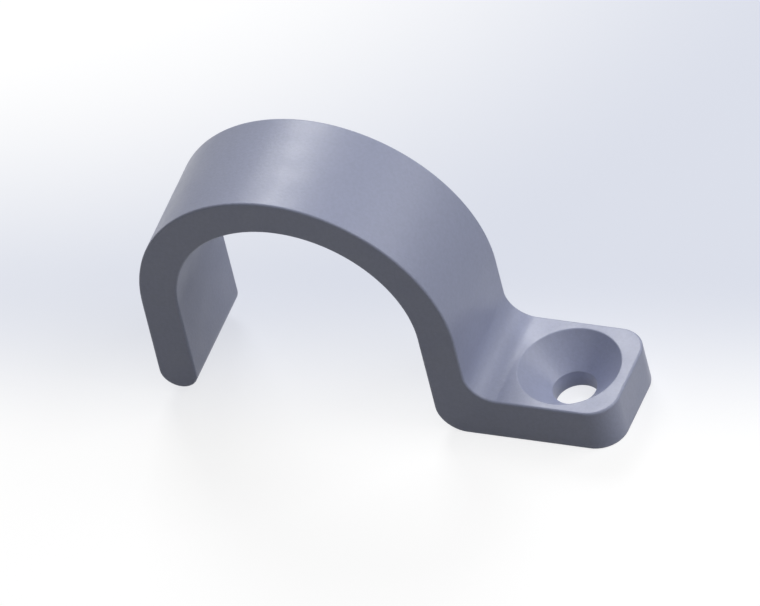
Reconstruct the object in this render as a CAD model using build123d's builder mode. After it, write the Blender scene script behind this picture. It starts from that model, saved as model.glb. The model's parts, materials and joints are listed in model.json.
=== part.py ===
from build123d import *
import os

# Conduit hook for one 25 mm conduit, moulded in one piece and held by one countersunk screw.
# The origin is the centre of the screw hole on the surface that the foot stands on.
# +X runs along the foot away from the conduit, +Y across the strap, +Z away from the surface.
# All sizes are in millimetres.

# Conduit, which lies on the same surface as the foot
conduit_diameter = 25.0
seat_clearance = 0.25

# Strap
wall = 4.0
width = 12.1
tip_gap = 1.0
edge_radius = 0.25

# Screw foot
foot_thickness = 5.0
pad_length = 12.1
instep_radius = 3.0
heel_radius = 3.0
corner_radius = 3.0

# Screw hole
hole_diameter = 4.5
head_diameter = 10.5
head_angle = 90
hole_to_end = 6.5

# The conduit's axis follows from the foot, the strap and the conduit itself
seat_radius = conduit_diameter / 2 + seat_clearance
outer_radius = seat_radius + wall
foot_end_x = hole_to_end
fixed_leg_outer_x = foot_end_x - pad_length - instep_radius
fixed_leg_inner_x = fixed_leg_outer_x - wall
conduit_x = fixed_leg_outer_x - outer_radius
conduit_z = conduit_diameter / 2
free_leg_inner_x = conduit_x - seat_radius

# The free leg ends in a full round, clear of the surface by the tip gap
tip_radius = wall / 2
tip_x = free_leg_inner_x - tip_radius
tip_z = tip_gap + tip_radius

with BuildPart() as conduit_hook:
    # Side profile: over the conduit, round the tip, back along the seat and out along the foot
    with BuildSketch(Plane.XZ) as profile:
        with BuildLine() as outline:
            crown = CenterArc((conduit_x, conduit_z), outer_radius, 0, 180)
            tip = CenterArc((tip_x, tip_z), tip_radius, 180, 180)
            free_leg_outside = Line(crown @ 1, tip @ 0)
            seat = CenterArc((conduit_x, conduit_z), seat_radius, 180, -180)
            free_leg_inside = Line(tip @ 1, seat @ 0)
            heel = FilletPolyline(
                seat @ 1,
                (fixed_leg_inner_x, 0),
                (foot_end_x, 0),
                radius=heel_radius,
            )
            foot_end = Line(heel @ 1, (foot_end_x, foot_thickness))
            instep = FilletPolyline(
                foot_end @ 1,
                (fixed_leg_outer_x, foot_thickness),
                crown @ 0,
                radius=instep_radius,
            )
        make_face()
    extrude(amount=width / 2, both=True)

    # The foot's two free corners are rounded in plan
    fillet(conduit_hook.edges().filter_by(Axis.Z).group_by(Axis.X)[-1], corner_radius)

    # Both rims of the crown run on without a break down the legs, round the tip and the heel
    # and about the foot, so rounding them rounds every outer edge of the moulding
    fillet(conduit_hook.edges().filter_by(GeomType.CIRCLE).group_by(SortBy.RADIUS)[-1], edge_radius)

    # Screw hole, countersunk from the top of the foot
    with Locations((0, 0, foot_thickness)):
        CounterSinkHole(hole_diameter / 2, head_diameter / 2, counter_sink_angle=head_angle)

conduit_hook.part.label = "conduit_hook"

os.makedirs("parts", exist_ok=True)
export_step(conduit_hook.part, "parts/conduit_hook.step")
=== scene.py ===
import json
from math import pi, radians

import bmesh
import bpy
from mathutils import Matrix, Vector


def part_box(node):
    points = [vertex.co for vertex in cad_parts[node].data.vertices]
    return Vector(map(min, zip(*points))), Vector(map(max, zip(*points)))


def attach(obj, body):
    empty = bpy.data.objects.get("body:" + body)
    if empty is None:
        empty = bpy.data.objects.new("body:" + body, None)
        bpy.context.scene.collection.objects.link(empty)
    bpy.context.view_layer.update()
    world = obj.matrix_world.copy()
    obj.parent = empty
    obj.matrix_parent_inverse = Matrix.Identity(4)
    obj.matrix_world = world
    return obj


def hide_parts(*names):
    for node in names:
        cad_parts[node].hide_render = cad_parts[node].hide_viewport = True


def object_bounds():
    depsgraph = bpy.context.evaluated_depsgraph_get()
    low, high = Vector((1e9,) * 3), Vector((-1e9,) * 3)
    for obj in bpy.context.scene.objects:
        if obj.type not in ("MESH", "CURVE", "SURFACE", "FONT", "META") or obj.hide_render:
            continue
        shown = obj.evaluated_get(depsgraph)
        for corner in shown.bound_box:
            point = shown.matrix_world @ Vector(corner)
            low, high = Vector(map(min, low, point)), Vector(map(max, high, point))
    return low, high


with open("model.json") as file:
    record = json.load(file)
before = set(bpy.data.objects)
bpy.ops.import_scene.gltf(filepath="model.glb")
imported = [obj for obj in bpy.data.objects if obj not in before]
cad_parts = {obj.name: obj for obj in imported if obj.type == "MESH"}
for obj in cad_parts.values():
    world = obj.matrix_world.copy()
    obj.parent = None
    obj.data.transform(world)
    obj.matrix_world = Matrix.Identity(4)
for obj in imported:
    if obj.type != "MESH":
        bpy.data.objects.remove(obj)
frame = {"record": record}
cad_low, cad_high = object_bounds()

# A conduit hook, moulded in one piece: a half-round strap over the conduit, with a screw foot.
# The origin is the screw hole's centre on the surface that the foot stands on. +X runs along
# the foot away from the conduit, +Y across the strap and +Z up the hole, all in metres.
MM = 0.001

# Sizes of the hook, from the solid's box and the mounts where they give them
hook_low, hook_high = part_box("conduit_hook")
mounts = {mount["name"]: mount for mount in frame["record"]["mounts"]}
WIDTH = hook_high.y - hook_low.y
FOOT_END_X = hook_high.x
CONDUIT_X, _, CONDUIT_Z = mounts["conduit_seat"]["pos_m"]
SEAT_RADIUS = mounts["conduit_seat"]["dims"]["r_mm"] * MM
CROWN_RADIUS = hook_high.z - CONDUIT_Z
WALL = CROWN_RADIUS - SEAT_RADIUS
HOLE_RADIUS = mounts["screw_hole"]["dims"]["r_mm"] * MM
HOLE_LAND = mounts["screw_hole"]["dims"]["length_mm"] * MM
FOOT_THICKNESS = 5.0 * MM
INSTEP_RADIUS = 3.0 * MM
HEEL_RADIUS = 3.0 * MM
CORNER_RADIUS = 3.0 * MM
TIP_GAP = 1.0 * MM
TIP_RADIUS = WALL / 2
EDGE_RADIUS = 0.25 * MM
HOLE_EDGE_RADIUS = 0.1 * MM

# The countersink opens at 90 degrees, so its radius grows by its own depth
COUNTERSINK_RADIUS = HOLE_RADIUS + FOOT_THICKNESS - HOLE_LAND

# Centres of the smaller bends in the side profile
INSTEP_X = CONDUIT_X + CROWN_RADIUS + INSTEP_RADIUS
HEEL_X = CONDUIT_X + SEAT_RADIUS + HEEL_RADIUS
TIP_X = CONDUIT_X - SEAT_RADIUS - TIP_RADIUS
TIP_Z = TIP_GAP + TIP_RADIUS

# Facets of the round stretches
HALF_TURN_STEPS = 96
BEND_STEPS = 24
HOLE_STEPS = 128
EDGE_STEPS = 4
HOLE_EDGE_STEPS = 3

# Points this near each other are merged, and places this near count as the same
MERGE_DISTANCE = 0.001 * MM
PLACE_TOLERANCE = 0.01 * MM

# Faces that meet at more than these angles form a rim of the moulding, or shade as a crease
RIM_ANGLE = radians(60)
CREASE_ANGLE = radians(35)


def select_nothing():
    """Leaves edit mode and drops the selection, so that an operator acts on one piece alone."""
    if bpy.context.object and bpy.context.object.mode != "OBJECT":
        bpy.ops.object.mode_set(mode="OBJECT")
    bpy.ops.object.select_all(action="DESELECT")


def select_only(piece):
    """Makes one piece the active object and the only selected one, in object mode."""
    select_nothing()
    piece.select_set(True)
    bpy.context.view_layer.objects.active = piece


def edit(piece):
    """Opens one piece in edit mode, in edge select mode, with nothing selected."""
    select_only(piece)
    bpy.ops.object.mode_set(mode="EDIT")
    bpy.ops.mesh.select_mode(type="EDGE")
    bpy.ops.mesh.select_all(action="DESELECT")


def choose_edges(piece, wanted):
    """Selects the edges of the piece in edit mode for which wanted(edge) holds, and no others."""
    bpy.ops.mesh.select_all(action="DESELECT")
    mesh = bmesh.from_edit_mesh(piece.data)
    for edge in mesh.edges:
        edge.select_set(wanted(edge))
    mesh.select_flush_mode()
    bmesh.update_edit_mesh(piece.data)


def near(value, target):
    """Says whether two places along an axis, or two radii, are the same."""
    return abs(value - target) < PLACE_TOLERANCE


def extend(x=0.0, z=0.0):
    """Draws the selected edge or face out in a straight line."""
    bpy.ops.mesh.extrude_region_move(TRANSFORM_OT_translate={"value": (x, 0, z)})


def bend(x, z, angle, steps):
    """Carries the selected edge round a line across the strap; a positive angle goes from +X to +Z."""
    bpy.ops.mesh.spin(steps=steps, angle=angle, center=(x, 0, z), axis=(0, 1, 0))


def foot_underside():
    """The hook's first face: the underside of the foot, from the heel to the foot's end."""
    select_nothing()
    bpy.ops.mesh.primitive_plane_add(size=1, location=((HEEL_X + FOOT_END_X) / 2, 0, 0))
    hook = bpy.context.object
    hook.name = hook.data.name = "moulded_hook"
    hook.scale = (FOOT_END_X - HEEL_X, WIDTH, 1)
    bpy.ops.object.transform_apply(location=True, rotation=True, scale=True)
    return hook


def carry_edge_round_profile(hook):
    """Carries the underside's far edge round the whole side profile, and joins it up at the heel."""
    choose_edges(hook, lambda edge: all(near(v.co.x, FOOT_END_X) for v in edge.verts))

    # Up the foot's end, back along its top and up the outside of the fixed leg
    extend(z=FOOT_THICKNESS)
    extend(x=INSTEP_X - FOOT_END_X)
    bend(INSTEP_X, FOOT_THICKNESS + INSTEP_RADIUS, -pi / 2, BEND_STEPS)
    extend(z=CONDUIT_Z - FOOT_THICKNESS - INSTEP_RADIUS)

    # Over the crown, down the free leg and round its tip
    bend(CONDUIT_X, CONDUIT_Z, pi, HALF_TURN_STEPS)
    extend(z=TIP_Z - CONDUIT_Z)
    bend(TIP_X, TIP_Z, pi, 2 * BEND_STEPS)

    # Up inside the free leg, along the seat, down inside the fixed leg and round the heel
    extend(z=CONDUIT_Z - TIP_Z)
    bend(CONDUIT_X, CONDUIT_Z, -pi, HALF_TURN_STEPS)
    extend(z=HEEL_RADIUS - CONDUIT_Z)
    bend(HEEL_X, HEEL_RADIUS, pi / 2, BEND_STEPS)
    bpy.ops.mesh.select_all(action="SELECT")
    bpy.ops.mesh.remove_doubles(threshold=MERGE_DISTANCE)


def fill_sides(hook):
    """Closes both sides of the strap, and turns every face outwards."""
    for side in (-WIDTH / 2, WIDTH / 2):
        choose_edges(hook, lambda edge: all(near(v.co.y, side) for v in edge.verts))
        bpy.ops.mesh.edge_face_add()
    bpy.ops.mesh.select_all(action="SELECT")
    bpy.ops.mesh.normals_make_consistent(inside=False)


def round_foot_corners(hook):
    """Rounds the foot's two free corners in plan."""
    choose_edges(
        hook,
        lambda edge: all(near(v.co.x, FOOT_END_X) for v in edge.verts)
        and near(edge.verts[0].co.y, edge.verts[1].co.y),
    )
    bpy.ops.mesh.bevel(offset=CORNER_RADIUS, segments=BEND_STEPS, affect="EDGES")


def round_rims(hook):
    """Runs one small radius all along both rims, as the mould leaves it."""
    choose_edges(hook, lambda edge: edge.calc_face_angle() > RIM_ANGLE)
    bpy.ops.mesh.bevel(offset=EDGE_RADIUS, segments=EDGE_STEPS, affect="EDGES")


def hook_blank():
    """The strap and foot as they are before the screw hole is cut."""
    hook = foot_underside()
    edit(hook)
    carry_edge_round_profile(hook)
    fill_sides(hook)
    round_foot_corners(hook)
    round_rims(hook)
    select_nothing()
    return hook


def hole_tool():
    """What the screw hole takes away: a straight bore that opens into the countersink."""
    overshoot = 1.0 * MM
    cone_height = FOOT_THICKNESS - HOLE_LAND + overshoot
    widening = (HOLE_RADIUS + cone_height) / HOLE_RADIUS
    select_nothing()
    bpy.ops.mesh.primitive_cylinder_add(
        vertices=HOLE_STEPS,
        radius=HOLE_RADIUS,
        depth=HOLE_LAND + overshoot,
        location=(0, 0, (HOLE_LAND - overshoot) / 2),
    )
    tool = bpy.context.object
    bpy.ops.object.transform_apply(location=True, rotation=True, scale=True)

    # The bore's upper end is drawn up and widened into the cone
    edit(tool)
    bpy.ops.mesh.select_mode(type="FACE")
    mesh = bmesh.from_edit_mesh(tool.data)
    for face in mesh.faces:
        face.select_set(near(face.calc_center_median().z, HOLE_LAND))
    bmesh.update_edit_mesh(tool.data)
    extend(z=cone_height)
    bpy.ops.transform.resize(value=(widening, widening, 1))
    select_nothing()
    return tool


def cut_screw_hole(hook):
    """Cuts the bore and the countersink out of the foot."""
    tool = hole_tool()
    cut = hook.modifiers.new("screw_hole", "BOOLEAN")
    cut.operation = "DIFFERENCE"
    cut.solver = "EXACT"
    cut.object = tool
    select_only(hook)
    bpy.ops.object.modifier_apply(modifier=cut.name)
    bpy.data.objects.remove(tool)


def break_hole_rims(hook):
    """Breaks the two sharp rims where the hole meets the foot's top and its underside."""
    rims = ((FOOT_THICKNESS, COUNTERSINK_RADIUS), (0.0, HOLE_RADIUS))
    edit(hook)
    choose_edges(
        hook,
        lambda edge: any(
            all(near(v.co.z, z) and near(v.co.xy.length, radius) for v in edge.verts)
            for z, radius in rims
        ),
    )
    bpy.ops.mesh.bevel(offset=HOLE_EDGE_RADIUS, segments=HOLE_EDGE_STEPS, affect="EDGES")
    select_nothing()


def smooth(piece):
    """Shades the round faces smooth and keeps the flat ones flat up to their rounded edges."""
    largest_face_decides = 100
    select_only(piece)
    bpy.ops.object.shade_smooth_by_angle(angle=CREASE_ANGLE)
    flat = piece.modifiers.new("flat_faces", "WEIGHTED_NORMAL")
    flat.mode = "FACE_AREA"
    flat.weight = largest_face_decides
    flat.keep_sharp = True
    bpy.ops.object.modifier_apply(modifier=flat.name)
    select_nothing()


def combine(tree, operation, first, second):
    """Makes one value out of two, by an operation of the Math node."""
    node = tree.nodes.new("ShaderNodeMath")
    node.operation = operation
    tree.links.new(first, node.inputs[0])
    tree.links.new(second, node.inputs[1])
    return node.outputs["Value"]


def noise(tree, feature, detail):
    """Solid noise in the piece's own coordinates, with features about that size across."""
    place = tree.nodes.new("ShaderNodeTexCoord")
    node = tree.nodes.new("ShaderNodeTexNoise")
    node.inputs["Scale"].default_value = 1 / feature
    node.inputs["Detail"].default_value = detail
    tree.links.new(place.outputs["Object"], node.inputs["Vector"])
    return node.outputs["Fac"]


def spread(tree, value, low, high):
    """Stretches the middle of a noise, where most of it lies, onto the range from low to high."""
    middle_start, middle_end = 0.35, 0.65
    node = tree.nodes.new("ShaderNodeMapRange")
    node.inputs["From Min"].default_value = middle_start
    node.inputs["From Max"].default_value = middle_end
    node.inputs["To Min"].default_value = low
    node.inputs["To Max"].default_value = high
    tree.links.new(value, node.inputs["Value"])
    return node.outputs["Result"]


def relief(tree, height, depth, below=None):
    """Raises the surface by a height from 0 to 1 times a depth, on top of the relief below it."""
    node = tree.nodes.new("ShaderNodeBump")
    node.inputs["Distance"].default_value = depth
    tree.links.new(height, node.inputs["Height"])
    if below:
        tree.links.new(below, node.inputs["Normal"])
    return node.outputs["Normal"]


def satin_plastic():
    """Pale lavender-grey plastic with the satin skin that a spark-eroded mould leaves."""
    colour = (0.37, 0.40, 0.55)
    material = bpy.data.materials.new("satin_plastic")
    material.use_nodes = True
    tree = material.node_tree
    shader = tree.nodes["Principled BSDF"]

    # The pigment is a little uneven: broad flow marks and a fine fleck
    flow = spread(tree, noise(tree, feature=9.0 * MM, detail=2.0), low=0.985, high=1.015)
    fleck = spread(tree, noise(tree, feature=0.35 * MM, detail=2.0), low=0.97, high=1.03)
    tint = tree.nodes.new("ShaderNodeVectorMath")
    tint.operation = "SCALE"
    tint.inputs["Vector"].default_value = colour
    tree.links.new(combine(tree, "MULTIPLY", flow, fleck), tint.inputs["Scale"])
    tree.links.new(tint.outputs["Vector"], shader.inputs["Base Color"])

    # Gloss varies with the mould's polish, and the grain lies on faint sink waves
    gloss = spread(tree, noise(tree, feature=2.5 * MM, detail=3.0), low=0.33, high=0.40)
    tree.links.new(gloss, shader.inputs["Roughness"])
    waves = relief(tree, noise(tree, feature=7.0 * MM, detail=1.0), depth=0.005 * MM)
    grain = relief(tree, noise(tree, feature=0.3 * MM, detail=3.0), depth=0.015 * MM, below=waves)
    tree.links.new(grain, shader.inputs["Normal"])
    return material


def smooth_step(tree, value, start, end):
    """Rises softly from 0 to 1 while the value goes from start to end."""
    node = tree.nodes.new("ShaderNodeMapRange")
    node.interpolation_type = "SMOOTHSTEP"
    node.inputs["From Min"].default_value = start
    node.inputs["From Max"].default_value = end
    tree.links.new(value, node.inputs["Value"])
    return node.outputs["Result"]


def behind_hook(tree, place):
    """0 on the near part of the floor and 1 on the part that lies behind the hook."""
    azimuth = radians(98.4)
    start, end = -9.0 * MM, 18.4 * MM
    along = tree.nodes.new("ShaderNodeVectorMath")
    along.operation = "DOT_PRODUCT"
    along.inputs[1].default_value = Matrix.Rotation(azimuth, 3, "Z").col[0]
    tree.links.new(place, along.inputs[0])
    return smooth_step(tree, along.outputs["Value"], start, end)


def outside_painted_light_pool(tree, place):
    """0 in the middle of an oval pool of light painted on the floor at the far left, and 1 beyond its
    rim.
    """
    centre = (-98.7 * MM, 59.4 * MM, 0)
    half_axes = (105.1 * MM, 70.8 * MM, 1)
    turn = radians(3.3)
    fade_start, rim = 0.35, 1.0
    oval = tree.nodes.new("ShaderNodeMapping")
    oval.vector_type = "TEXTURE"
    oval.inputs["Location"].default_value = centre
    oval.inputs["Rotation"].default_value = (0, 0, turn)
    oval.inputs["Scale"].default_value = half_axes
    away = tree.nodes.new("ShaderNodeVectorMath")
    away.operation = "LENGTH"
    tree.links.new(place, oval.inputs["Vector"])
    tree.links.new(oval.outputs["Vector"], away.inputs[0])
    return smooth_step(tree, away.outputs["Value"], fade_start, rim)


def looked_at(tree):
    """1 for the camera's rays and those that gloss or glass sends on, and 0 for all others."""
    ray = tree.nodes.new("ShaderNodeLightPath").outputs
    seen_or_mirrored = combine(tree, "MAXIMUM", ray["Is Camera Ray"], ray["Is Glossy Ray"])
    return combine(tree, "MAXIMUM", seen_or_mirrored, ray["Is Transmission Ray"])


def floor_material():
    """White that turns a pale blue grey behind the hook; what lights the hook from it is a dim grey."""
    white = (1.0, 1.0, 1.0, 1.0)
    blue_grey = (0.688, 0.716, 0.800, 1.0)
    dim_grey = (0.25, 0.25, 0.25, 1.0)
    own_light = 1.17
    shadow_share = 0.3
    material = bpy.data.materials.new("floor")
    material.use_nodes = True
    tree = material.node_tree
    tree.nodes.remove(tree.nodes["Principled BSDF"])
    place = tree.nodes.new("ShaderNodeTexCoord").outputs["Object"]
    # The floor turns blue grey behind the hook, except in the painted pool of light at the far left
    field = combine(tree, "MULTIPLY", behind_hook(tree, place), outside_painted_light_pool(tree, place))
    mix = tree.nodes.new("ShaderNodeMix")
    mix.data_type = "RGBA"
    mix.inputs["A"].default_value = white
    mix.inputs["B"].default_value = blue_grey
    tree.links.new(field, mix.inputs["Factor"])
    pale = mix.outputs["Result"]

    # Part of its brightness is its own, so that the hook's shadow on it stays light
    glow = tree.nodes.new("ShaderNodeEmission")
    glow.inputs["Strength"].default_value = own_light
    tree.links.new(pale, glow.inputs["Color"])
    shaded = tree.nodes.new("ShaderNodeBsdfDiffuse")
    tree.links.new(pale, shaded.inputs["Color"])
    seen = tree.nodes.new("ShaderNodeMixShader")
    seen.inputs["Fac"].default_value = shadow_share
    tree.links.new(glow.outputs["Emission"], seen.inputs[1])
    tree.links.new(shaded.outputs["BSDF"], seen.inputs[2])

    # The light that it throws back onto the hook is dim
    dim = tree.nodes.new("ShaderNodeBsdfDiffuse")
    dim.inputs["Color"].default_value = dim_grey
    switch = tree.nodes.new("ShaderNodeMixShader")
    tree.links.new(looked_at(tree), switch.inputs["Fac"])
    tree.links.new(dim.outputs["BSDF"], switch.inputs[1])
    tree.links.new(seen.outputs["Shader"], switch.inputs[2])
    tree.links.new(switch.outputs["Shader"], tree.nodes["Material Output"].inputs["Surface"])
    return material


def add_floor():
    """The pale floor that the hook stands on, a hair below the foot so that no two faces coincide."""
    size = 4.0
    drop = 0.01 * MM
    select_nothing()
    bpy.ops.mesh.primitive_plane_add(size=size, location=(0, 0, -drop))
    bpy.ops.object.transform_apply(location=True, rotation=True, scale=True)
    floor = bpy.context.object
    floor.name = floor.data.name = "floor"
    floor.data.materials.append(floor_material())


def add_camera():
    """A parallel view from above and to the right, turned a little about its own line of sight.

    The azimuth goes from -Y towards +X.
    """
    azimuth, elevation, roll = radians(30.57), radians(43.86), radians(-14.56)
    aim = Vector((-19.19, 0.0, 10.54)) * MM
    distance = 0.5
    picture_width = 75.0 * MM
    turn = (
        Matrix.Rotation(azimuth, 4, "Z")
        @ Matrix.Rotation(pi / 2 - elevation, 4, "X")
        @ Matrix.Rotation(roll, 4, "Z")
    )
    data = bpy.data.cameras.new("camera")
    data.type = "ORTHO"
    data.ortho_scale = picture_width
    camera = bpy.data.objects.new("camera", data)
    camera.matrix_world = Matrix.Translation(aim + turn.col[2].xyz * distance) @ turn
    bpy.context.scene.collection.objects.link(camera)
    bpy.context.scene.camera = camera


def add_lamp(name, azimuth, elevation, size, power):
    """A square soft lamp that faces the hook; its azimuth goes from +X towards +Y, in degrees."""
    distance = 0.6
    towards = (
        Matrix.Rotation(radians(azimuth), 3, "Z") @ Matrix.Rotation(radians(-elevation), 3, "Y")
    ).col[0]
    data = bpy.data.lights.new(name, "AREA")
    data.shape = "SQUARE"
    data.size = size
    data.energy = power
    lamp = bpy.data.objects.new(name, data)
    lamp.location = (cad_low + cad_high) / 2 + towards * distance
    lamp.rotation_mode = "QUATERNION"
    lamp.rotation_quaternion = towards.to_track_quat("Z", "Y")
    bpy.context.scene.collection.objects.link(lamp)


def add_lamps():
    """A softbox that the crown mirrors, and three more round the hook."""
    add_lamp("crown_softbox", azimuth=118, elevation=42, size=0.24, power=1.3)
    add_lamp("right_softbox", azimuth=20, elevation=40, size=0.4, power=1.5)
    add_lamp("back_softbox", azimuth=105, elevation=50, size=0.4, power=0.3)
    add_lamp("front_softbox", azimuth=330, elevation=60, size=0.4, power=0.55)


def add_world():
    """White where it is looked at, and next to no light from it on the hook."""
    white = (1, 1, 1, 1)
    seen_strength = 1.0
    ambient_strength = 0.03
    world = bpy.data.worlds.new("studio")
    bpy.context.scene.world = world
    world.use_nodes = True
    tree = world.node_tree
    background = tree.nodes["Background"]
    background.inputs["Color"].default_value = white
    strength = tree.nodes.new("ShaderNodeMapRange")
    strength.inputs["To Min"].default_value = ambient_strength
    strength.inputs["To Max"].default_value = seen_strength
    tree.links.new(looked_at(tree), strength.inputs["Value"])
    tree.links.new(strength.outputs["Result"], background.inputs["Strength"])


hook = hook_blank()
cut_screw_hole(hook)
break_hole_rims(hook)
smooth(hook)
hook.data.materials.append(satin_plastic())
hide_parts("conduit_hook")
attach(hook, "root")

add_floor()
add_camera()
add_lamps()
add_world()
bpy.context.scene.view_settings.view_transform = "Standard"
